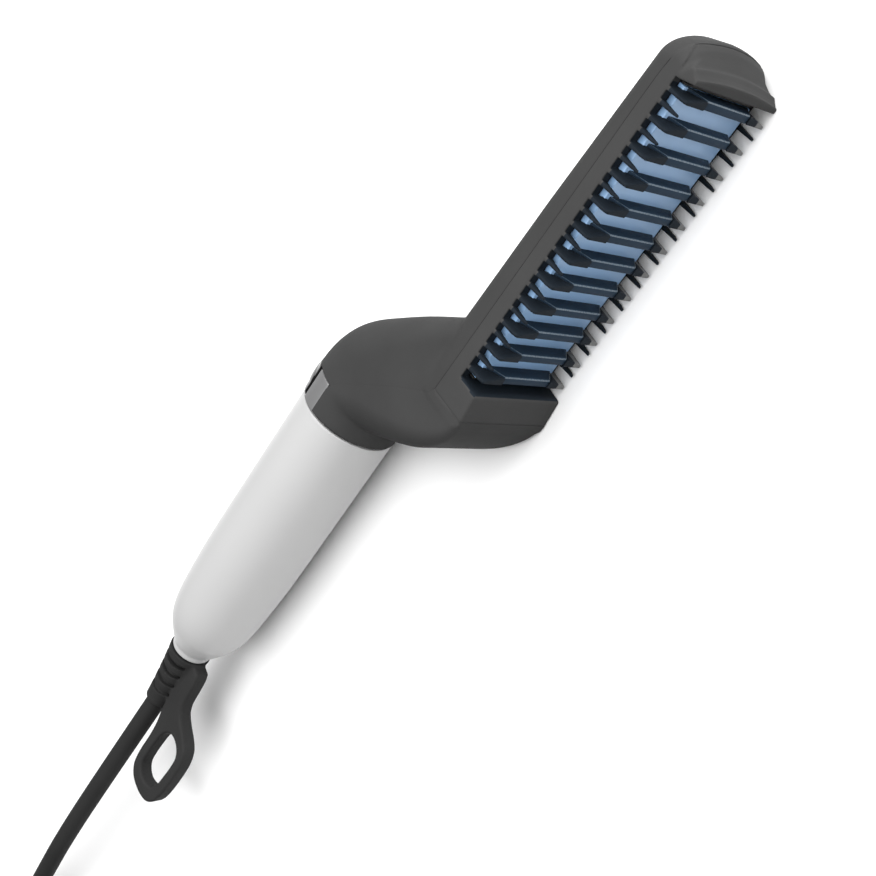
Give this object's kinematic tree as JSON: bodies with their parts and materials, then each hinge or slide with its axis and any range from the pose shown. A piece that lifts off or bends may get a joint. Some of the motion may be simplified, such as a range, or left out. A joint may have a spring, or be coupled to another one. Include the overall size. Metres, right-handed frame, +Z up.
{
  "type": "heated straightening comb",
  "caption": "Heated straightening comb: toothed guard round a finned hot plate on a cranked neck, round handle, push button, swivel cord and plug.",
  "frame": {"origin": "on the surface that the comb lies on, under the middle of its box without the free cord", "axes": "+X along the head towards its tip, -Y the way the teeth point, +Z up, away from the side that the comb lies on"},
  "size_m": [0.4562, 0.0921, 0.0323],
  "materials": {
    "handle_white": "satin gloss white moulding",
    "housing_dark": "satin dark grey moulding",
    "guard_dark": "satin dark grey moulding",
    "plate_blue": "blue ceramic-coated aluminium, satin",
    "blade_blue": "dark blue ceramic-coated aluminium, satin",
    "carrier_brown": "heat-resistant moulding",
    "film_amber": "amber insulating film",
    "brass": "bright",
    "ceramic_grey": "sintered ceramic",
    "spring_steel": "bright",
    "fuse_body": "painted",
    "black_plastic": "moulded",
    "wire_red": "insulated wire",
    "wire_white": "insulated wire",
    "wire_blue": "insulated wire",
    "pcb_green": "lacquered board",
    "cap_yellow": "moulded case",
    "resistor_tan": "lacquered",
    "led_red": "clear tinted lens",
    "panel_silver": "silver-grey satin",
    "button_gloss": "glossy black",
    "screw_steel": "zinc plated",
    "nylon": "natural nylon",
    "rubber_dark": "matt soft rubber",
    "cord_dark": "matt flexible sheath",
    "plug_black": "moulded",
    "pin_nickel": "nickel plated"
  },
  "bodies": {
    "cord_set": {"strain_relief": "rubber_dark", "hanging_loop": "rubber_dark", "swivel_shaft": "black_plastic", "slip_rings": "brass", "cord": "cord_dark", "cord_coil": "cord_dark", "cord_tie": "black_plastic", "cord_tail": "cord_dark", "plug_body": "plug_black", "plug_pins": "pin_nickel"},
    "handle": {"handle_sleeve": "handle_white", "rear_housing": "housing_dark", "front_housing": "housing_dark", "comb_guard": "guard_dark", "heating_plate": "plate_blue", "comb_blades": "blade_blue", "plate_carrier": "carrier_brown", "insulating_film": "film_amber", "heater_electrodes": "brass", "heater_stones": "ceramic_grey", "clamp_spring": "spring_steel", "thermal_fuse": "fuse_body", "thermistor": "black_plastic", "heater_leads": "wire_red", "sensor_leads": "wire_white", "control_board": "pcb_green", "tact_switch": "black_plastic", "film_capacitor": "cap_yellow", "triac": "black_plastic", "board_resistors": "resistor_tan", "indicator_led": "led_red", "control_panel": "panel_silver", "housing_screws": "screw_steel", "swivel_bush": "nylon", "contact_carrier": "carrier_brown", "brush_contacts": "brass", "supply_leads": "wire_blue"},
    "button": {"power_button": "button_gloss"}
  },
  "joints": [
    {"name": "swivel", "type": "hinge", "parent": "cord_set", "child": "handle", "pos_m": [-0.0859, 0.013, 0.0156], "axis": [-1, 0, 0], "continuous": true},
    {"name": "button_press", "type": "slide", "parent": "handle", "child": "button", "axis": [0, -1, 0], "range_m": [0, 0.0006], "stiffness_N_per_m": 2500, "springref_m": -0.0002}
  ]
}
